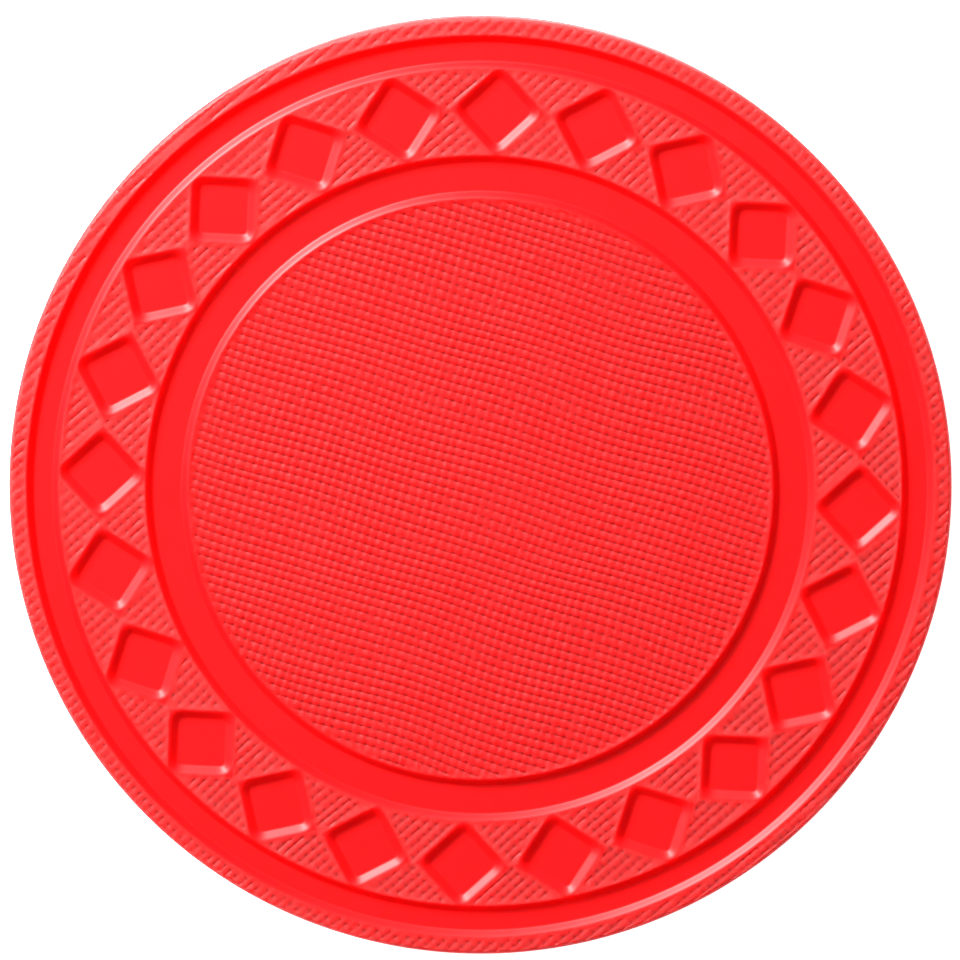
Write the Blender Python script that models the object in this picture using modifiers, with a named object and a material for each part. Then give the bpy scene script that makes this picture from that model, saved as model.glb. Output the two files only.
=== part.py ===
"""Chip-style golf ball marker: two moulded half shells closed round a steel weight disc.

The frame has its origin at the middle of the underside, +Z up along the chip's axis.
"""

import math

import bmesh
import bpy
from mathutils import Matrix, Vector

MM = 0.001

# Driving dimensions
CHIP_RADIUS = 19.5 * MM
CHIP_THICKNESS = 3.3 * MM
EMBOSS_DEPTH = 0.25 * MM
EDGE_ROUND = 0.3 * MM
FIELD_RADIUS = 12.03 * MM
BAND_INNER_RADIUS = 13.9 * MM
BAND_OUTER_RADIUS = 17.36 * MM
RIM_INNER_RADIUS = 18.82 * MM
WALL_RUN = 0.35 * MM
SHOULDER_RUN = 0.14 * MM
SHOULDER_DROP = 0.06 * MM
DIAMOND_COUNT = 24
DIAMOND_CIRCLE_RADIUS = 15.68 * MM
DIAMOND_FLOOR_HALF_SIDE = 0.98 * MM
DIAMOND_FLOOR_CORNER = 0.15 * MM
SLUG_RADIUS = 12.75 * MM
SLUG_THICKNESS = 1.5 * MM
SLUG_EDGE_EASE = 0.12 * MM
PEG_COUNT = 4
PEG_CIRCLE_RADIUS = 7.0 * MM
PEG_RADIUS = 0.9 * MM
WELD_RING_INNER_RADIUS = 15.2 * MM
WELD_RING_OUTER_RADIUS = 16.2 * MM
WELD_RING_HEIGHT = 0.5 * MM
WELD_RING_BEVEL = 0.1 * MM
SIDE_GAP = 0.3 * MM
SEAM_GAP = 0.05 * MM

# Dimensions that follow from them
MID_PLANE = CHIP_THICKNESS / 2
SHELL_HEIGHT = MID_PLANE - SEAM_GAP / 2
POCKET_RADIUS = SLUG_RADIUS + SIDE_GAP
POCKET_FLOOR = MID_PLANE - SLUG_THICKNESS / 2 - SEAM_GAP
SLUG_HOLE_RADIUS = PEG_RADIUS + SIDE_GAP
PEG_TOP = CHIP_THICKNESS - POCKET_FLOOR - SIDE_GAP

ROUND_STEPS = 96
EDGE_ARC_STEPS = 3
SMALL_ROUND_STEPS = 24
CORNER_ARC_STEPS = 4
CUT_MARGIN = 0.1 * MM
MERGE_DISTANCE = 0.001 * MM
SMOOTH_BELOW = math.radians(25)


def clear_scene():
    for obj in list(bpy.data.objects):
        bpy.data.objects.remove(obj)


def make_collection(name):
    collection = bpy.data.collections.new(name)
    bpy.context.scene.collection.children.link(collection)
    return collection


def make_material(name, colour, roughness, metallic):
    material = bpy.data.materials.new(name)
    material.use_nodes = True
    shader = material.node_tree.nodes["Principled BSDF"]
    shader.inputs["Base Color"].default_value = (*colour, 1.0)
    shader.inputs["Roughness"].default_value = roughness
    shader.inputs["Metallic"].default_value = metallic
    return material


def add_object(name, mesh, collection, material=None):
    obj = bpy.data.objects.new(name, mesh)
    collection.objects.link(obj)
    if material:
        mesh.materials.append(material)
    return obj


def turned(name, profile, collection, material):
    """A solid of revolution: the (radius, height) profile starts and ends on the axis."""
    mesh = bpy.data.meshes.new(name)
    points = [(radius, 0, height) for radius, height in profile]
    edges = [(i, i + 1) for i in range(len(points) - 1)]
    mesh.from_pydata(points, edges, [])
    obj = add_object(name, mesh, collection, material)
    screw = obj.modifiers.new("turn", "SCREW")
    screw.axis = "Z"
    screw.steps = screw.render_steps = ROUND_STEPS
    screw.use_merge_vertices = True
    screw.merge_threshold = MERGE_DISTANCE
    shade_smooth(obj)
    return obj


def shade_smooth(obj):
    """Keep the turned mesh itself, smooth round the axis and sharp across its corners."""
    depsgraph = bpy.context.evaluated_depsgraph_get()
    turned_mesh = bpy.data.meshes.new_from_object(obj.evaluated_get(depsgraph))
    obj.modifiers.clear()
    obj.data = turned_mesh
    turned_mesh.shade_smooth()
    turned_mesh.set_sharp_from_angle(angle=SMOOTH_BELOW)


def cutter(name, bm, collection):
    """A hidden helper mesh for a Boolean."""
    mesh = bpy.data.meshes.new(name)
    bm.to_mesh(mesh)
    bm.free()
    obj = add_object(name, mesh, collection)
    obj.hide_render = True
    obj.display_type = "WIRE"
    return obj


def boolean(obj, other, operation):
    modifier = obj.modifiers.new(other.name, "BOOLEAN")
    modifier.operation = operation
    modifier.object = other
    modifier.solver = "EXACT"


def around(count, radius, height):
    """Places on a circle about the axis, each turned to face outwards."""
    for i in range(count):
        turn = Matrix.Rotation(math.tau * i / count, 4, "Z")
        yield turn @ Matrix.Translation((radius, 0, height))


def face_profile():
    """The embossed face from the axis to the seam, as (radius, depth below the face)."""
    profile = [(0, 0)]
    for radius, outwards in (
        (FIELD_RADIUS, 1),
        (BAND_INNER_RADIUS, -1),
        (BAND_OUTER_RADIUS, 1),
        (RIM_INNER_RADIUS, -1),
    ):
        wall = [
            (radius, 0),
            (radius + outwards * SHOULDER_RUN, SHOULDER_DROP),
            (radius + outwards * WALL_RUN, EMBOSS_DEPTH),
        ]
        profile += wall if outwards > 0 else wall[::-1]
    for i in range(EDGE_ARC_STEPS + 1):
        angle = math.pi / 2 * i / EDGE_ARC_STEPS
        profile.append(
            (
                CHIP_RADIUS - EDGE_ROUND * (1 - math.sin(angle)),
                EDGE_ROUND * (1 - math.cos(angle)),
            )
        )
    profile.append((CHIP_RADIUS, SHELL_HEIGHT))
    return profile


def weld_ring_profile():
    """The ring that stands on the lower shell's seam face, from outside to inside."""
    top = SHELL_HEIGHT + WELD_RING_HEIGHT
    return [
        (WELD_RING_OUTER_RADIUS, SHELL_HEIGHT),
        (WELD_RING_OUTER_RADIUS - WELD_RING_BEVEL, top),
        (WELD_RING_INNER_RADIUS + WELD_RING_BEVEL, top),
        (WELD_RING_INNER_RADIUS, SHELL_HEIGHT),
    ]


def weld_groove_profile():
    """The groove in the upper shell's seam face that takes the weld ring, from outside to inside."""
    end = SHELL_HEIGHT - WELD_RING_HEIGHT - SEAM_GAP
    outer = WELD_RING_OUTER_RADIUS + SIDE_GAP
    inner = WELD_RING_INNER_RADIUS - SIDE_GAP
    return [
        (outer, SHELL_HEIGHT),
        (outer - WELD_RING_BEVEL, end),
        (inner + WELD_RING_BEVEL, end),
        (inner, SHELL_HEIGHT),
    ]


def pocket_profile():
    """Half the slug's pocket, from the seam to the axis."""
    return [(POCKET_RADIUS, SHELL_HEIGHT), (POCKET_RADIUS, POCKET_FLOOR), (0, POCKET_FLOOR)]


def rounded_square(half_side, corner):
    """Outline of a square that stands on one of its rounded corners, anticlockwise."""
    reach = (half_side - corner) * math.sqrt(2)
    outline = []
    for quarter in range(4):
        middle = math.pi / 2 * quarter
        for step in range(CORNER_ARC_STEPS + 1):
            angle = middle + math.pi / 2 * (step / CORNER_ARC_STEPS - 1 / 2)
            x = reach * math.cos(middle) + corner * math.cos(angle)
            y = reach * math.sin(middle) + corner * math.sin(angle)
            outline.append((x, y))
    return outline


def diamond_punch(name, face, inwards, collection):
    """The ring of tapered punches that press the diamonds into a face at that height."""
    mouth_growth = WALL_RUN * (EMBOSS_DEPTH + CUT_MARGIN) / EMBOSS_DEPTH
    ends = ((0, face + inwards * EMBOSS_DEPTH), (mouth_growth, face - inwards * CUT_MARGIN))
    bm = bmesh.new()
    for place in around(DIAMOND_COUNT, DIAMOND_CIRCLE_RADIUS, 0):
        loops = []
        for growth, height in ends:
            outline = rounded_square(DIAMOND_FLOOR_HALF_SIDE + growth, DIAMOND_FLOOR_CORNER + growth)
            loops.append([bm.verts.new(place @ Vector((x, y, height))) for x, y in outline])
        floor, mouth = loops
        bm.faces.new(floor)
        bm.faces.new(mouth)
        for i in range(len(floor)):
            bm.faces.new((floor[i - 1], floor[i], mouth[i], mouth[i - 1]))
    bmesh.ops.recalc_face_normals(bm, faces=bm.faces)
    return cutter(name, bm, collection)


def peg_ring(name, radius, bottom, top, collection):
    """Upright cylinders on the peg circle."""
    bm = bmesh.new()
    for place in around(PEG_COUNT, PEG_CIRCLE_RADIUS, (bottom + top) / 2):
        bmesh.ops.create_cone(
            bm,
            cap_ends=True,
            segments=SMALL_ROUND_STEPS,
            radius1=radius,
            radius2=radius,
            depth=top - bottom,
            matrix=place,
        )
    return cutter(name, bm, collection)


def make_reverse_shell(parts, helpers, resin):
    """The lower half: embossed underneath, with the weld ring and the pegs that hold the slug."""
    profile = face_profile() + weld_ring_profile() + pocket_profile()
    shell = turned("reverse_shell", profile[::-1], parts, resin)
    boolean(shell, diamond_punch("reverse_punch", 0, 1, helpers), "DIFFERENCE")
    pegs = peg_ring("pegs", PEG_RADIUS, POCKET_FLOOR - CUT_MARGIN, PEG_TOP, helpers)
    boolean(shell, pegs, "UNION")


def make_obverse_shell(parts, helpers, resin):
    """The upper half: the same embossing on top, with the groove for the weld ring inside."""
    down = face_profile() + weld_groove_profile() + pocket_profile()
    profile = [(radius, CHIP_THICKNESS - depth) for radius, depth in down]
    shell = turned("obverse_shell", profile, parts, resin)
    punch = diamond_punch("obverse_punch", CHIP_THICKNESS, -1, helpers)
    boolean(shell, punch, "DIFFERENCE")


def make_weight_slug(parts, helpers, steel):
    """The punched steel disc, with one hole for each peg and eased edges."""
    top = MID_PLANE + SLUG_THICKNESS / 2
    bottom = MID_PLANE - SLUG_THICKNESS / 2
    profile = [
        (0, top),
        (SLUG_RADIUS - SLUG_EDGE_EASE, top),
        (SLUG_RADIUS, top - SLUG_EDGE_EASE),
        (SLUG_RADIUS, bottom + SLUG_EDGE_EASE),
        (SLUG_RADIUS - SLUG_EDGE_EASE, bottom),
        (0, bottom),
    ]
    slug = turned("weight_slug", profile, parts, steel)
    hole_ends = (bottom - CUT_MARGIN, top + CUT_MARGIN)
    boolean(slug, peg_ring("slug_holes", SLUG_HOLE_RADIUS, *hole_ends, helpers), "DIFFERENCE")


def main():
    clear_scene()
    parts = make_collection("chip_ball_marker")
    helpers = make_collection("cutters")
    resin = make_material("red_resin", (0.82, 0.015, 0.02), 0.42, 0.0)
    steel = make_material("slug_steel", (0.58, 0.58, 0.6), 0.35, 1.0)
    make_reverse_shell(parts, helpers, resin)
    make_obverse_shell(parts, helpers, resin)
    make_weight_slug(parts, helpers, steel)


main()
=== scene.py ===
# %% [markdown]
# # A chip-style golf ball marker
#
# The marker is a red moulded chip, 39 mm across: two half shells closed round a steel weight disc. Each
# face has a raised rim, a raised band with sunk diamonds and a raised centre, and those raised parts carry
# the print of a plain-woven cloth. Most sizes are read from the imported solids. The number of diamonds, the
# corner of their floors, the seam, the weld ring and groove, the pegs and the print are given here.

# %% Load the solids
import math

import bpy
import numpy as np
from mathutils import Matrix, Vector


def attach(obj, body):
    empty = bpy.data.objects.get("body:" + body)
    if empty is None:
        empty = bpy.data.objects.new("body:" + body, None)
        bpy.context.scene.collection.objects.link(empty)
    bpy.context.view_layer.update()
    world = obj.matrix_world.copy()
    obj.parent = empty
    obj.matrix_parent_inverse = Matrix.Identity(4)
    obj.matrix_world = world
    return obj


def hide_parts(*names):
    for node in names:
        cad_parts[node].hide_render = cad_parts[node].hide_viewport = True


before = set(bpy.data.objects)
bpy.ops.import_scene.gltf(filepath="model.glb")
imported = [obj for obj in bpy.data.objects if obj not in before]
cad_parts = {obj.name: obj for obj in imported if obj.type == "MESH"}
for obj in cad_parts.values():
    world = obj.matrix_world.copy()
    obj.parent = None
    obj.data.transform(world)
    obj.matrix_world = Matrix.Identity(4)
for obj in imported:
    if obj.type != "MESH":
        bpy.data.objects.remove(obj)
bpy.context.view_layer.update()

MM = 0.001

# %% [markdown]
# ## Reading the sizes off the upper shell
#
# A turned step leaves a circle of corner points in the solid, all at one height and one radius, so a circle
# is found by counting the points that share a radius. The diamonds' tips are the points on the +X ray. This
# could be a list of typed numbers instead, but measured ones can't drift away from the solids.

# %% Measure the circles and the diamonds
CIRCLE_POINTS = 60
DIAMONDS = 24
SAME = 0.002
CLEAR_OF_CIRCLE = 0.01
DEPTH_AT_LEAST = 0.2
DEPTH_AT_MOST = 0.28


def corner_points(node):
    """The node's different points, in mm."""
    points = np.array([vertex.co[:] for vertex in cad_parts[node].data.vertices]) / MM
    return np.unique(points.round(3), axis=0)


def circles(points, height):
    """Radii that at least CIRCLE_POINTS points share at that height."""
    level = points[np.abs(points[:, 2] - height) < SAME]
    radii, counts = np.unique(np.hypot(level[:, 0], level[:, 1]).round(2), return_counts=True)
    return radii[counts >= CIRCLE_POINTS]


def tips(points, height, inner, outer):
    """The nearest and furthest points on the +X ray between two radii at that height."""
    on_ray = (np.abs(points[:, 2] - height) < SAME) & (np.abs(points[:, 1]) < SAME)
    between = (points[:, 0] > inner + CLEAR_OF_CIRCLE) & (points[:, 0] < outer - CLEAR_OF_CIRCLE)
    reach = points[on_ray & between, 0]
    return reach.min(), reach.max()


shell_points = corner_points("obverse_shell")
THICKNESS = shell_points[:, 2].max()
MIDDLE = THICKNESS / 2
levels = np.unique(shell_points[:, 2].round(3))
FIELD, BAND_IN, BAND_OUT, RIM_IN, RIM_OUT = circles(shell_points, THICKNESS)
near_floor = (levels < THICKNESS - DEPTH_AT_LEAST) & (levels > THICKNESS - DEPTH_AT_MOST)
DEPTH = THICKNESS - levels[near_floor].min()
FIELD_FOOT, BAND_IN_FOOT, BAND_OUT_FOOT, RIM_FOOT = circles(shell_points, THICKNESS - DEPTH)
RADIUS = shell_points[:, 0].max()
FLOOR_TIPS = tips(shell_points, THICKNESS - DEPTH, BAND_IN_FOOT, BAND_OUT_FOOT)
print("heights", levels, "top circles", FIELD, BAND_IN, BAND_OUT, RIM_IN, RIM_OUT)
print("floor circles", FIELD_FOOT, BAND_IN_FOOT, BAND_OUT_FOOT, RIM_FOOT, "outline", RADIUS)
print("depth", DEPTH, "diamond floor tips", FLOOR_TIPS)

# %% [markdown]
# ## Surfaces from grids
#
# Every new shape is a grid of points with quads between neighbours. Points are kept in mm until they go into
# a mesh. A grid that closes on itself in one direction makes a tube, and in both directions a ring.

# %% Grids, tubes and meshes
def grid_quads(rows, columns, close_rows=False, close_columns=False):
    """Quads between neighbours of a rows by columns grid numbered row by row. Seen from the side where
    columns run right and rows run up, each quad turns anticlockwise."""
    point = np.arange(rows * columns).reshape(rows, columns)
    if close_rows:
        point = np.vstack([point, point[:1]])
    if close_columns:
        point = np.hstack([point, point[:, :1]])
    corners = point[:-1, :-1], point[:-1, 1:], point[1:, 1:], point[1:, :-1]
    return np.stack(corners, axis=-1).reshape(-1, 4)


def make_mesh(name, points, faces):
    """A mesh object from points in mm and a list of faces."""
    mesh = bpy.data.meshes.new(name)
    mesh.from_pydata((np.asarray(points) * MM).tolist(), [], faces)
    piece = bpy.data.objects.new(name, mesh)
    bpy.context.scene.collection.objects.link(piece)
    return piece


def stacked_loops(loops):
    """Closed solid from a stack of loops, an array of (loops, points, xyz): the loops run anticlockwise
    seen from above and go up, with a flat cap on the first and on the last."""
    rows, columns = loops.shape[:2]
    faces = grid_quads(rows, columns, close_columns=True).tolist()
    first, last = np.arange(columns), np.arange(columns) + (rows - 1) * columns
    return loops.reshape(-1, 3), faces + [first[::-1].tolist(), last.tolist()]


def turn_profile(profile, steps):
    """Loops of a turned shape: point (radius, height) of the profile goes to
    (radius cos angle, radius sin angle, height) at each of the equal angles."""
    angle = np.arange(steps) * math.tau / steps
    radius, height = np.asarray(profile, float).T[..., None]
    level = height + 0 * angle
    return np.stack([radius * np.cos(angle), radius * np.sin(angle), level], axis=-1)


print("a 3 by 4 grid has", len(grid_quads(3, 4)), "quads")

# %% [markdown]
# ## The relief's cross-section
#
# The die's walls are straight flanks with a soft shoulder at the top and a tighter fillet at the foot. The
# slope grows evenly over the shoulder, stays steady down the flank and fades evenly over the fillet, so the
# height is the running sum of that slope, scaled to the relief's depth. A straight flank is what carries
# a wide highlight, which a plain S curve would squeeze into a line.

# %% Profiles of the two half shells
WALL_STEPS = 9
SHOULDER = 0.45
DIAMOND_SPREAD = 0.08
FLOOR_CORNER = 0.15
FILLET = 0.1
FLOOR_HOLD = 0.03
SLOPE_STEPS = 400
TURN_STEPS = 360
SEAM = 0.006
SEAM_CHAMFER = 0.05
EDGE_ROUND = RADIUS - RIM_OUT
DIAMOND_RUN = FIELD_FOOT - FIELD + DIAMOND_SPREAD
FLOOR_HALF_SIDE = (np.ptp(FLOOR_TIPS) / 2 - FLOOR_CORNER) / math.sqrt(2) + FLOOR_CORNER
MOUTH_HALF_SIDE = FLOOR_HALF_SIDE + DIAMOND_RUN
FACE = THICKNESS / 2
FLOOR = FACE - DEPTH
POCKET = circles(shell_points, levels[0])[0]
POCKET_TOP = max(level for level in levels if POCKET in circles(shell_points, level)) - MIDDLE
print("pocket radius", POCKET, "roof above the middle", POCKET_TOP)


def fall(share):
    """How far down a wall is, from 0 to 1, at each share of the way from its top to its foot: the running
    sum of min(share / SHOULDER, 1, (1 - share) / FILLET), scaled to end at 1."""
    fine = np.linspace(0, 1, SLOPE_STEPS)
    slope = np.minimum(np.minimum(fine / SHOULDER, 1), (1 - fine) / FILLET)
    return np.interp(share, fine, np.cumsum(slope) / slope.sum())


def wall(top, foot):
    """Points of a wall from the radius of its top to the radius of its foot, and one more on the floor just
    beyond it, which holds the floor flat under smooth shading."""
    share = np.append(np.linspace(0, 1, WALL_STEPS + 1), 1 + FLOOR_HOLD / abs(foot - top))
    return list(zip(top + (foot - top) * share, FACE - DEPTH * fall(share)))


def rounded_edge():
    """A quarter circle from the side of the chip up to the rim's land."""
    angle = np.linspace(0, math.pi / 2, WALL_STEPS + 1)
    radius = RIM_OUT + EDGE_ROUND * np.cos(angle)
    height = FACE - EDGE_ROUND + EDGE_ROUND * np.sin(angle)
    return list(zip(radius, height))


def border_profile(weld):
    """The ring-shaped part of a half shell, anticlockwise from the pocket: seam face with the weld ring or
    groove, side, rim, outer floor, band, inner floor, and back down beside the centre."""
    return (
        [(POCKET, SEAM), *weld, (RADIUS - SEAM_CHAMFER, SEAM), (RADIUS, SEAM + SEAM_CHAMFER)]
        + rounded_edge()
        + wall(RIM_IN, RIM_FOOT)
        + wall(BAND_OUT, BAND_OUT_FOOT)[::-1]
        + wall(BAND_IN, BAND_IN_FOOT)
        + [(FIELD_FOOT + FLOOR_HOLD, FLOOR), (FIELD_FOOT - TUCK, FLOOR)]
        + [(FIELD_FOOT - TUCK, POCKET_TOP), (POCKET, POCKET_TOP)]
    )


def centre_profile():
    """The centre of a half shell, from the pocket's roof up its wall to just above the face."""
    return (
        [(FIELD_FOOT, POCKET_TOP)]
        + wall(FIELD, FIELD_FOOT)[-2::-1]
        + [(FIELD - TRIM_MARGIN, FACE + TRIM_MARGIN)]
    )


# TUCK is how far the border runs in under the centre's wall, so that the two overlap and can be joined.
TUCK = 0.02
TRIM_MARGIN = 0.2
# The weld groove and ring as (radius, height above the middle), from the inside out.
WELD_GROOVE = [(14.9, SEAM), (15.0, 0.575), (16.4, 0.575), (16.5, SEAM)]
WELD_RING = [(15.2, SEAM), (15.3, -0.475), (16.1, -0.475), (16.2, SEAM)]
print("border profile", len(border_profile(WELD_RING)), "points")

# %% [markdown]
# ## The cloth print
#
# Before such a die is cut, linen is pressed into it, so each crossing of two yarns prints one small pillow
# and the corners between four of them print as pits. In a plain weave the upper yarn changes at every
# crossing, so neighbouring pillows differ a little in height. The weft lies looser than the warp, so the
# gaps between rows are deeper than those between columns. Real linen is uneven: the yarns wander, and here
# and there the pillows of a row run together.

# %% The surface of pressed linen
YARN_PITCH = 0.354
YARN_PLACES = np.array([0, 0.28, 0.72])
COLUMN_GAP = 0.038
ROW_GAP = 0.058
PIT = 0.008
SQUARENESS = 2.6
SWING = 0.006
UNEVEN_PLACE = 0.04
UNEVEN_HEIGHT = 0.014
RUN_TOGETHER = 0.2
WANDER = 0.45
WAVES = 4
WAVE_YARNS = (12, 40)
EDGE_FADE = 0.08


def wander(along, across, chance):
    """A slow drift from -1 to 1: the mean of WAVES sine waves of random direction, length and start."""
    total = np.zeros_like(along)
    for _ in range(WAVES):
        length = chance.uniform(*WAVE_YARNS)
        turn, start = chance.uniform(0, math.tau), chance.uniform(0, math.tau)
        total += np.sin(math.tau / length * (along * math.cos(turn) + across * math.sin(turn)) + start)
    return total / WAVES


def linen(half_width, seed):
    """Points of a square of printed linen about the centre, in mm, with its highest point at height 0.
    Each yarn has a point in the gap before it and one on each of its shoulders, at YARN_PLACES. With u and v
    counted in yarns and fu, fv measured from the middle of a crossing, drop(f) is |2 f| to the squareness.
    The height is -column_gap drop(fu) - row_gap drop(fv) - pit drop(fu) drop(fv), plus the crossing's own
    level times (1 - drop(fu)) (1 - drop(fv)), where the level alternates with the weave and varies by
    chance."""
    chance = np.random.default_rng(seed)
    yarns = math.ceil(half_width / YARN_PITCH) + 1
    count = np.append((np.arange(2 * yarns)[:, None] + YARN_PLACES).ravel(), 2 * yarns)
    u, v = np.meshgrid(count, count)
    i, j = np.minimum(u, 2 * yarns - 1).astype(int), np.minimum(v, 2 * yarns - 1).astype(int)
    drop_u, drop_v = np.abs(2 * (u - i) - 1) ** SQUARENESS, np.abs(2 * (v - j) - 1) ** SQUARENESS
    weave = np.where((i + j) % 2 == 0, 0, -2 * SWING)
    chance_level = chance.uniform(-1, 0, (2 * yarns, 2 * yarns)) * UNEVEN_HEIGHT
    column_gap = COLUMN_GAP * (1 + RUN_TOGETHER * wander(u, v, chance))
    gaps = column_gap * drop_u + ROW_GAP * drop_v + PIT * drop_u * drop_v
    height = (weave + chance_level[j, i]) * (1 - drop_u) * (1 - drop_v) - gaps
    shift_u = np.interp(count, np.arange(2 * yarns), chance.normal(0, UNEVEN_PLACE, 2 * yarns))
    shift_v = np.interp(count, np.arange(2 * yarns), chance.normal(0, UNEVEN_PLACE, 2 * yarns))
    x = u - yarns + shift_u[None, :] + WANDER * wander(v, u, chance)
    y = v - yarns + shift_v[:, None] + WANDER * wander(u, v, chance)
    return np.stack([x * YARN_PITCH, y * YARN_PITCH, height], axis=-1)


def inside_land(x, y):
    """How far a point lies inside the nearest raised land, in mm: the smallest of its distances to the
    land's circles and to the nearest diamond's mouth. The angle is folded into one diamond's share, and a
    square on its corner has the distance (|x| + |y|) / sqrt 2 - half side. The rim is open outwards, so its
    print runs over the rounded edge."""
    radius = np.hypot(x, y)
    share = math.tau / DIAMONDS
    angle = (np.arctan2(y, x) + share / 2) % share - share / 2
    out, across = radius * np.cos(angle) - np.mean(FLOOR_TIPS), radius * np.sin(angle)
    from_diamond = (np.abs(out) + np.abs(across)) / math.sqrt(2) - MOUTH_HALF_SIDE
    band = np.minimum(np.minimum(radius - BAND_IN, BAND_OUT - radius), from_diamond)
    return np.maximum(np.maximum(FIELD - radius, band), radius - RIM_IN)


def linen_block(name, half_width, turn, strength, seed, bottom):
    """A closed block whose top is printed linen turned by that angle, just under the face's height, its
    depth multiplied by the strength. The print fades out over EDGE_FADE beside every wall."""
    top = linen(half_width, seed)
    rows, columns = top.shape[:2]
    cos, sin = math.cos(turn), math.sin(turn)
    x, y, height = np.moveaxis(top, -1, 0)
    x, y = x * cos - y * sin, x * sin + y * cos
    fade = strength * np.clip(inside_land(x, y) / EDGE_FADE, 0, 1)
    top = np.stack([x, y, FACE - PRINT_MARGIN + height * fade], axis=-1)
    number = np.arange(rows * columns).reshape(rows, columns)
    rim = np.concatenate([number[0, :-1], number[:-1, -1], number[-1, :0:-1], number[:0:-1, 0]])
    points = top.reshape(-1, 3)
    foot = points[rim] * (1, 1, 0) + (0, 0, bottom)
    below = len(points) + np.arange(len(rim))
    skirt = np.stack([below, np.roll(below, -1), np.roll(rim, -1), rim], axis=-1)
    faces = grid_quads(rows, columns).tolist() + skirt.tolist() + [below[::-1].tolist()]
    return make_mesh(name, np.vstack([points, foot]), faces)


PRINT_MARGIN = 0.002
CENTRE_TURN = math.radians(-15.0)
CENTRE_PRINT = 1
BORDER_TURN = math.radians(44.5)
BORDER_PRINT = 0.82
SAMPLE_HALF_WIDTH = 2
sample = linen(SAMPLE_HALF_WIDTH, seed=1)
print("print depth", round(float(np.ptp(sample[..., 2])), 3), "mm, grid", sample.shape)

# %% [markdown]
# ## Marks for the finish
#
# The finish has to know the print's pits from the walls beside them, and height alone can't tell it: a wall
# passes through the pits' heights on its way down. Each point therefore carries two numbers of its own,
# worked out from where it lies, which the material reads as attributes.

# %% Mark the lands and their pits
# The centre's lands get this share of the pale colour, which is partly wear and partly painted sheen.
FIELD_WEAR_AND_SHEEN = 0.38
PIT_DEPTH = 0.09


def mark_print(piece):
    """Puts two numbers on each of the piece's points. "land" is 1 on the printed lands and a smaller share on
    the centre's, and falls to 0 over EDGE_FADE down their walls; it sets how much of the pale colour a point
    gets, which is partly wear and partly painted sheen. "pit" is the point's depth below the face as a share
    of
    PIT_DEPTH, on the lands alone, and rises over EDGE_FADE from 0 at the top of each wall; it sets how much
    of the painted shade a point gets."""
    points = np.empty(len(piece.data.vertices) * 3, dtype=np.float32)
    piece.data.vertices.foreach_get("co", points)
    x, y, z = points.reshape(-1, 3).T / MM
    radius, depth = np.hypot(x, y), FACE - np.abs(z - MIDDLE)
    inside = inside_land(x, y) / EDGE_FADE
    shallow = np.clip((DEPTH - depth) / EDGE_FADE, 0, 1)
    before_edge = np.clip((RIM_OUT - radius) / EDGE_FADE + 1, 0, 1)
    marks = {
        "land": np.clip(inside + 1, 0, 1) * shallow * np.where(radius < FIELD_FOOT, FIELD_WEAR_AND_SHEEN, 1),
        "pit": np.clip(inside, 0, 1) * shallow * before_edge * np.clip(depth / PIT_DEPTH, 0, 1),
    }
    for name, values in marks.items():
        layer = piece.data.attributes.get(name) or piece.data.attributes.new(name, "FLOAT", "POINT")
        layer.data.foreach_set("value", values.astype(np.float32))


print("pits are marked in full from", PIT_DEPTH, "mm below the face")

# %% [markdown]
# ## The diamond punches
#
# A diamond is a sunk square standing on its corner, with the same walls as the rings. Its punch is a stack of
# squares that grow from the floor to the mouth, each one the floor's outline moved outwards, so the corners
# round off as they rise. All 24 are one array, turned about the chip's axis.

# %% Punches for the diamonds
SQUARE_POINTS = 44
CORNER_CROWDING = 0.8


def rounded_squares(half_sides, corners):
    """Loops of squares with rounded corners: a ray at each angle meets a square of that half side, the
    point is drawn in to the square that is smaller by the corner's radius, and that radius is added back
    along the line between the two."""
    angle = np.arange(SQUARE_POINTS) * math.tau / SQUARE_POINTS
    ray = np.stack([np.cos(angle), np.sin(angle)], axis=-1)
    ray = np.sign(ray) * np.abs(ray) ** CORNER_CROWDING
    ray /= np.abs(ray).max(axis=-1, keepdims=True)
    outer = half_sides[:, None, None] * ray
    reach = (half_sides - corners)[:, None, None]
    inner = np.clip(outer, -reach, reach)
    gap = outer - inner
    return inner + corners[:, None, None] * gap / np.linalg.norm(gap, axis=-1, keepdims=True)


def diamond_punches(name):
    """One mesh of all the punches: each stack of loops is turned by an eighth of a turn to stand on its
    corner, moved out to the band's middle and then turned to its place."""
    share = np.linspace(0, 1, WALL_STEPS + 1)
    height = np.concatenate([[FLOOR], FACE - DEPTH * fall(1 - share), [FACE + TRIM_MARGIN]])
    growth = np.concatenate([[-FLOOR_HOLD], DIAMOND_RUN * share, [DIAMOND_RUN]])
    square = rounded_squares(FLOOR_HALF_SIDE + growth, FLOOR_CORNER + growth)
    x = (square[..., 0] - square[..., 1]) / math.sqrt(2) + np.mean(FLOOR_TIPS)
    y = (square[..., 0] + square[..., 1]) / math.sqrt(2)
    z = height[:, None] + 0 * x
    turn = (np.arange(DIAMONDS) * math.tau / DIAMONDS)[:, None, None]
    turned = x * np.cos(turn) - y * np.sin(turn), x * np.sin(turn) + y * np.cos(turn), z + 0 * turn
    punches = np.stack(turned, axis=-1)
    points, faces = zip(*(stacked_loops(loops) for loops in punches))
    starts = np.arange(DIAMONDS) * len(points[0])
    numbered = [
        [start + corner for corner in face]
        for start, some in zip(starts.tolist(), faces)
        for face in some
    ]
    return make_mesh(name, np.vstack(points), numbered)


print("diamond floor", round(2 * FLOOR_HALF_SIDE, 3), "mm a side, mouth", round(2 * MOUTH_HALF_SIDE, 3))

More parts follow.
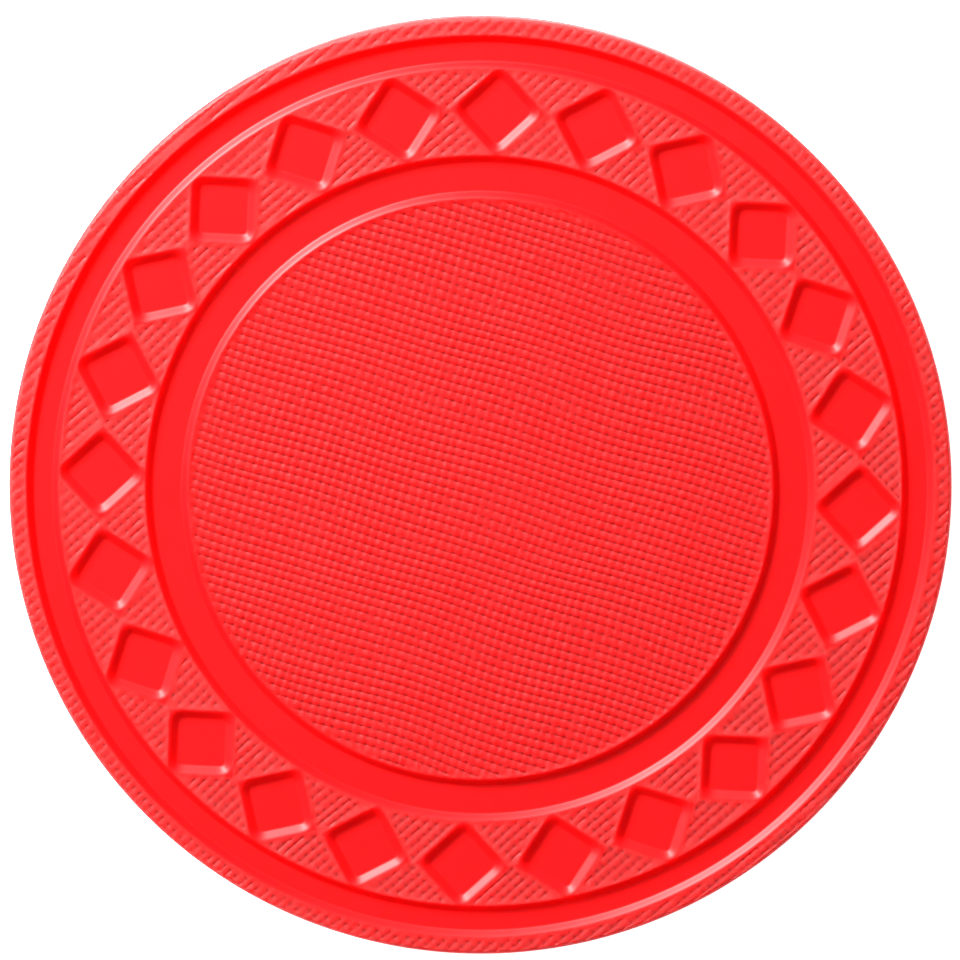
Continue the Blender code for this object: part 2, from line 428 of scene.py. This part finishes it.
# %% [markdown]
# ## Cutting the shells
#
# The turned relief is cut by the punches, and then only what lies under the printed linen is kept, which
# is how a die that carries the print would leave it. A Boolean keeps the circles and the diamonds crisp,
# where a height on one plain grid would leave their edges stepped. Each piece has nearly 200,000
# triangles, so the fast solver is used, and it needs closed meshes. The centre's cloth lies at another
# angle than the border's, so the two are cut apart and then joined. They have to be one piece in the end:
# light scatters inside a piece and doesn't cross to the next, so a split would show as a dark ring. The
# lower shell is the same shape turned over about the X axis.

# %% Cut the two mouldings
SMOOTH_BELOW = math.radians(42)


def cut(piece, operation, tool):
    """Applies one Boolean to the piece and removes the tool."""
    change = piece.modifiers.new(tool.name, "BOOLEAN")
    change.operation, change.object, change.solver = operation, tool, "MANIFOLD"
    graph = bpy.context.evaluated_depsgraph_get()
    result = bpy.data.meshes.new_from_object(piece.evaluated_get(graph))
    piece.modifiers.clear()
    spent, piece.data = piece.data, result
    bpy.data.meshes.remove(spent)
    bpy.data.objects.remove(tool)


def smooth_shading(piece):
    """Smooth everywhere but across real corners."""
    piece.data.shade_smooth()
    piece.data.set_sharp_from_angle(angle=SMOOTH_BELOW)
    piece.data.name = piece.name
    piece.data.calc_loop_triangles()
    print(piece.name, len(piece.data.loop_triangles), "triangles")


def place(piece, turned_over):
    """Moves a shape that is centred on the middle plane to its height, turned over for the lower shell."""
    over = Matrix.Rotation(math.pi, 4, "X") if turned_over else Matrix.Identity(4)
    piece.data.transform(Matrix.Translation((0, 0, MIDDLE * MM)) @ over)
    smooth_shading(piece)
    mark_print(piece)
    return piece


def make_border(name, weld, seed):
    """Rim, floors, band with its diamonds, and side."""
    loops = turn_profile(border_profile(weld), TURN_STEPS)
    rows, columns = loops.shape[:2]
    quads = grid_quads(rows, columns, close_rows=True, close_columns=True)
    piece = make_mesh(name, loops.reshape(-1, 3), quads.tolist())
    cut(piece, "DIFFERENCE", diamond_punches("punches"))
    cut(piece, "INTERSECT", linen_block("linen", RADIUS, BORDER_TURN, BORDER_PRINT, seed, BELOW_ALL))
    return piece


def make_centre(name, seed):
    """The raised centre, down to the pocket's roof."""
    piece = make_mesh(name, *stacked_loops(turn_profile(centre_profile(), TURN_STEPS)))
    cut(piece, "INTERSECT", linen_block("linen", FIELD_FOOT, CENTRE_TURN, CENTRE_PRINT, seed, BELOW_ALL))
    return piece


def make_moulding(name, weld, border_seed, centre_seed, turned_over):
    """One half shell: its border and its centre joined, then put in its place."""
    piece = make_border(name, weld, border_seed)
    cut(piece, "UNION", make_centre("centre", centre_seed))
    return place(piece, turned_over)


BELOW_ALL = -2.0
OBVERSE_SEEDS = 11, 12
REVERSE_SEEDS = 13, 14
obverse_moulding = make_moulding("obverse_moulding", WELD_GROOVE, *OBVERSE_SEEDS, turned_over=False)
reverse_moulding = make_moulding("reverse_moulding", WELD_RING, *REVERSE_SEEDS, turned_over=True)

# %% [markdown]
# ## The locating pegs
#
# Four pegs stand on the lower shell and pass through the holes of the steel disc, so that it can't turn
# while the halves are welded. Each is a short turned stub with an eased tip. The stub starts inside the
# shell and is joined to it, because a peg is part of the same moulding.

# %% Join the pegs to the lower moulding
PEGS = 4
PEG_CIRCLE = 7.0
PEG = 0.9
PEG_TOP = 2.15
PEG_EASE = 0.15
PEG_ROOT = 0.2
PEG_STEPS = 32
PEG_EASE_POINTS = 7


def make_pegs(name):
    """One mesh of the pegs: a profile (radius, height) with a quarter circle at its tip, turned about its
    own axis and copied round the peg circle."""
    angle = np.linspace(0, math.pi / 2, PEG_EASE_POINTS)
    tip = PEG - PEG_EASE + PEG_EASE * np.cos(angle), PEG_TOP - PEG_EASE + PEG_EASE * np.sin(angle)
    root = MIDDLE - POCKET_TOP - PEG_ROOT
    profile = [(PEG, root), *zip(*tip)]
    points, faces = stacked_loops(turn_profile(profile, PEG_STEPS))
    turn = np.arange(PEGS) * math.tau / PEGS
    centres = np.stack([PEG_CIRCLE * np.cos(turn), PEG_CIRCLE * np.sin(turn), 0 * turn], axis=-1)
    everywhere = points[None] + centres[:, None]
    starts = (np.arange(PEGS) * len(points)).tolist()
    numbered = [[start + corner for corner in face] for start in starts for face in faces]
    return make_mesh(name, everywhere.reshape(-1, 3), numbered)


cut(reverse_moulding, "UNION", make_pegs("pegs"))
smooth_shading(reverse_moulding)
mark_print(reverse_moulding)
peg_reach = max(vertex.co.z for vertex in reverse_moulding.data.vertices) / MM
print("reverse_moulding with pegs reaches", round(peg_reach, 3), "mm")

# %% [markdown]
# ## Shader maths
#
# A material's patterns are easier to read as sums and products than as a web of nodes. The class below
# wraps one socket, and each operator adds one Math node. Any other node comes from its add method.

# %% A socket that does maths
class Signal:
    """A node's output in a finish, which +, - and * work on, from either side."""

    def __init__(self, finish, socket):
        self.finish, self.socket = finish, socket

    def math(self, operation, *values):
        return self.finish.add("ShaderNodeMath", {"operation": operation}, dict(enumerate(values)))

    def __add__(self, other):
        return self.math("ADD", self, other)

    def __sub__(self, other):
        return self.math("SUBTRACT", self, other)

    def __rsub__(self, other):
        return self.math("SUBTRACT", other, self)

    def __mul__(self, other):
        return self.math("MULTIPLY", self, other)

    __radd__, __rmul__ = __add__, __mul__


class Finish:
    """A material built node by node round one Principled shader."""

    def __init__(self, name, **constants):
        self.material = bpy.data.materials.new(name)
        self.material.use_nodes = True
        self.tree = self.material.node_tree
        self.shader = self.tree.nodes["Principled BSDF"]
        for socket, value in constants.items():
            self.shader.inputs[socket.replace("_", " ")].default_value = value

    def add(self, kind, settings=None, values=None, output=0):
        """A new node: its settings first, then its sockets' numbers or links."""
        node = self.tree.nodes.new(kind)
        for setting, value in (settings or {}).items():
            setattr(node, setting, value)
        for socket, value in (values or {}).items():
            self.feed(node.inputs[socket], value)
        return Signal(self, node.outputs[output])

    def feed(self, socket, value):
        """Links a signal to a socket, or sets its number."""
        if isinstance(value, Signal):
            self.tree.links.new(value.socket, socket)
        else:
            socket.default_value = value

    def drive(self, **signals):
        """Feeds the shader's own sockets."""
        for socket, value in signals.items():
            self.feed(self.shader.inputs[socket.replace("_", " ")], value)

    def place(self):
        """The point on the object, in metres."""
        return self.add("ShaderNodeTexCoord", output="Object")

    def noise(self, size, detail=2.0):
        """Soft noise from 0 to 1 whose blobs are about size across, in metres."""
        values = {"Vector": self.place(), "Scale": 1 / size, "Detail": detail, "Roughness": 0.5}
        return self.add("ShaderNodeTexNoise", values=values, output="Fac")

    def ramp(self, signal, low, high, to_low=0.0, to_high=1.0):
        """The signal's range low to high mapped smoothly onto another range."""
        values = {"Value": signal, 1: low, 2: high, 3: to_low, 4: to_high}
        return self.add("ShaderNodeMapRange", {"interpolation_type": "SMOOTHSTEP"}, values)

    def blend(self, share, first, second):
        """One colour turning into another as share goes from 0 to 1."""
        values = {0: share, 6: first, 7: second}
        return self.add("ShaderNodeMix", {"data_type": "RGBA"}, values, output=2)

    def bump(self, height):
        """A surface normal bent by a height in metres."""
        return self.add("ShaderNodeBump", values={"Height": height, "Strength": 1.0, "Distance": 1.0})


# %% [markdown]
# ## Red resin
#
# The chip is one plain red all through. What makes the picture is light on the relief, and some of it is
# painted into the colour. The tops of the print are paler and pinker, most of all out on the band and the rim
# and on the tops of the walls: partly wear from handling, partly painted sheen. The pits and gaps between
# them
# are a darker red: painted shade. The smooth floors have a satin skin with the faint grain of the die. Colour
# by height alone would also stain the walls, which pass through the pits' heights, so colour and roughness
# follow the two numbers that were put on the points. Two fine noises make the grain and the slow ripple.

# %% The red resin finish
RESIN_RED = (0.85, 0.001, 0.003, 1)
# Paler, pinker red for the print's tops and the tops of the walls: partly wear, partly painted sheen.
WORN_AND_SHEEN_RED = (0.58, 0.027, 0.027, 1)
# Darker red for the print's pits and gaps: painted shade.
PIT_SHADE_RED = (0.36, 0.003, 0.004, 1)
SCATTER = {"Subsurface_Weight": 1.0, "Subsurface_Radius": (1.0, 0.03, 0.03), "Subsurface_Scale": 1.2 * MM}
PATCH_SIZE, PATCH_DETAIL = 1.6 * MM, 3.0
PATCH_EDGES = (0.3, 0.7)
# How much of that pale colour, partly painted sheen, the patches give a top.
WEAR_AND_SHEEN_RANGE = (0.7, 1.0)
# The pit mark at which the painted shade in the pits is full.
FULL_PIT_SHADE = 1.1
GRAIN_SIZE, GRAIN_HEIGHT = 0.045 * MM, 0.0012 * MM
RIPPLE_SIZE, RIPPLE_HEIGHT = 0.7 * MM, 0.004 * MM
SATIN = 0.43
ROUGHER = {"patches": 0.05, "grain": 0.05, "land": 0.04, "pit": 0.12}


def red_resin():
    resin = Finish("red_resin", IOR=1.5, Specular_IOR_Level=0.28, **SCATTER)
    land = resin.add("ShaderNodeAttribute", {"attribute_name": "land"}, output="Fac")
    pit = resin.add("ShaderNodeAttribute", {"attribute_name": "pit"}, output="Fac")
    patches = resin.noise(PATCH_SIZE, detail=PATCH_DETAIL)
    grain = resin.noise(GRAIN_SIZE)
    ripple = resin.noise(RIPPLE_SIZE)
    # The print's tops turn paler: partly wear, partly painted sheen.
    worn_and_sheen = resin.blend(land * resin.ramp(patches, *PATCH_EDGES, *WEAR_AND_SHEEN_RANGE), RESIN_RED, WORN_AND_SHEEN_RED)
    # The print's pits and gaps turn darker: painted shade.
    colour = resin.blend(resin.ramp(pit, 0.0, FULL_PIT_SHADE), worn_and_sheen, PIT_SHADE_RED)
    roughness = SATIN + patches * ROUGHER["patches"] + grain * ROUGHER["grain"]
    roughness = roughness + land * ROUGHER["land"] + pit * ROUGHER["pit"]
    relief = grain * GRAIN_HEIGHT + ripple * RIPPLE_HEIGHT
    resin.drive(Base_Color=colour, Roughness=roughness, Normal=resin.bump(relief))
    return resin.material


RED_RESIN = red_resin()
for piece, node in ((obverse_moulding, "obverse_shell"), (reverse_moulding, "reverse_shell")):
    piece.data.materials.clear()
    piece.data.materials.append(RED_RESIN)
    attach(piece, "root")
    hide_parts(node)

# %% [markdown]
# ## Blanked steel
#
# The weight disc is stamped from mild steel sheet. The sheet keeps straight rolling lines, so one noise is
# stretched along X, and handling leaves dull patches.

# %% The steel finish
ROLLED_BRIGHT = (0.60, 0.60, 0.62, 1)
HANDLED_DULL = (0.44, 0.43, 0.43, 1)
LINE_STRETCH = (0.04, 1, 1)
LINE_SIZE, LINE_DETAIL, LINE_HEIGHT = 0.12 * MM, 3.0, 0.004 * MM
DULL_PATCH_SIZE = 3 * MM


def blanked_steel():
    steel = Finish("slug_steel", Metallic=1.0)
    stretched = steel.add("ShaderNodeMapping", values={"Vector": steel.place(), "Scale": LINE_STRETCH})
    values = {"Vector": stretched, "Scale": 1 / LINE_SIZE, "Detail": LINE_DETAIL}
    lines = steel.add("ShaderNodeTexNoise", values=values, output="Fac")
    patches = steel.noise(DULL_PATCH_SIZE)
    colour = steel.blend(patches, ROLLED_BRIGHT, HANDLED_DULL)
    roughness = 0.28 + lines * 0.2 + patches * 0.12
    steel.drive(Base_Color=colour, Roughness=roughness, Normal=steel.bump(lines * LINE_HEIGHT))
    return steel.material


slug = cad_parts["weight_slug"]
slug.data.materials.clear()
slug.data.materials.append(blanked_steel())

# %% [markdown]
# ## Stage, light and camera
#
# A pale sheet that glows a little so that its ground stays white, a surround that is bright on the lamp's
# side, and one soft lamp from the upper left that rakes across the relief.
# The camera is almost straight above the chip, at about the distance of a close-up.

# %% Floor
FLOOR_SIDE = 600.0
FLOOR_DROP = 0.01
BACKLIGHT = 1.0
TONE_SIZE = 40 * MM
PALE, LESS_PALE = (0.93, 0.93, 0.93, 1), (0.9, 0.9, 0.9, 1)


def make_floor():
    """A flat sheet just under the chip, its size and drop in mm."""
    steps = np.linspace(-FLOOR_SIDE / 2, FLOOR_SIDE / 2, 3)
    x, y = np.meshgrid(steps, steps)
    points = np.stack([x, y, 0 * x - FLOOR_DROP], axis=-1).reshape(-1, 3)
    floor = make_mesh("floor", points, grid_quads(3, 3).tolist())
    paper = Finish("pale_floor", Roughness=0.9, Emission_Color=(1, 1, 1, 1), Emission_Strength=BACKLIGHT)
    paper.drive(Base_Color=paper.blend(paper.noise(TONE_SIZE), PALE, LESS_PALE))
    floor.data.materials.append(paper.material)


make_floor()
print("floor", FLOOR_SIDE, "mm a side")

# %% Light
KEY = {"towards": (133, 26), "distance": 300, "size": 90, "watts": 3.8}
BRIGHT_SIDE = (136, 20)
DARK_BELOW = -0.3
DARK_SIDE = 0.1
SURROUND = 0.6


def direction(towards):
    """The unit vector towards an azimuth and elevation in degrees."""
    azimuth, elevation = (math.radians(angle) for angle in towards)
    flat = math.cos(elevation)
    return Vector((flat * math.cos(azimuth), flat * math.sin(azimuth), math.sin(elevation)))


def soft_light(name, towards, distance, size, watts):
    """A square lamp facing the chip, its distance and size in mm."""
    lamp = bpy.data.lights.new(name, "AREA")
    lamp.energy, lamp.size = watts, size * MM
    light = bpy.data.objects.new(name, lamp)
    bpy.context.scene.collection.objects.link(light)
    light.location = direction(towards) * distance * MM
    light.rotation_euler = direction(towards).to_track_quat("Z", "Y").to_euler()


def make_surround():
    """A room that is bright on the lamp's side and dark on the other: the brightness rises with the dot
    product of the ray's direction and the bright side's, from DARK_SIDE below DARK_BELOW to SURROUND."""
    world = bpy.data.worlds.new("surround")
    world.use_nodes = True
    nodes, links = world.node_tree.nodes, world.node_tree.links
    ray = nodes.new("ShaderNodeTexCoord").outputs["Generated"]
    dot = nodes.new("ShaderNodeVectorMath")
    dot.operation = "DOT_PRODUCT"
    dot.inputs[1].default_value = direction(BRIGHT_SIDE)
    links.new(ray, dot.inputs[0])
    glow = nodes.new("ShaderNodeMapRange")
    glow.interpolation_type = "SMOOTHSTEP"
    limits = {"From Min": DARK_BELOW, "From Max": 1.0, "To Min": DARK_SIDE, "To Max": SURROUND}
    for socket, value in limits.items():
        glow.inputs[socket].default_value = value
    links.new(dot.outputs["Value"], glow.inputs["Value"])
    links.new(glow.outputs["Result"], nodes["Background"].inputs["Strength"])
    nodes["Background"].inputs["Color"].default_value = (1, 1, 1, 1)
    bpy.context.scene.world = world


soft_light("key", **KEY)
make_surround()
bpy.context.scene.view_settings.view_transform = "Standard"
print("lamp", KEY["watts"], "W, towards", KEY["towards"])

# %% Camera
DISTANCE = 225.0
TILT_X, TILT_Y = 0.0, math.radians(6.35)
ROLL = math.radians(2.69)
AIM = Vector((-0.028, 0.405, 3.0))
SENSOR = 36.0
SEEN_WIDTH = 39.71
NEAREST, FURTHEST = 0.01, 10


def make_camera():
    """Looks at AIM from DISTANCE along a line that leans from the axis by the two tilts."""
    back = Vector((math.sin(TILT_X), math.sin(TILT_Y), 0))
    back.z = math.sqrt(1 - back.length_squared)
    up = Vector((-math.sin(ROLL), math.cos(ROLL), 0))
    right = up.cross(back).normalized()
    lens = bpy.data.cameras.new("camera")
    lens.sensor_width, lens.lens = SENSOR, SENSOR * DISTANCE / SEEN_WIDTH
    lens.clip_start, lens.clip_end = NEAREST, FURTHEST
    camera = bpy.data.objects.new("camera", lens)
    bpy.context.scene.collection.objects.link(camera)
    turn = Matrix((right, back.cross(right), back)).transposed().to_4x4()
    camera.matrix_world = Matrix.Translation((AIM + back * DISTANCE) * MM) @ turn
    bpy.context.scene.camera = camera


make_camera()
print("camera", DISTANCE, "mm away, seeing", SEEN_WIDTH, "mm across")

# %% Update the view layer
bpy.context.view_layer.update()
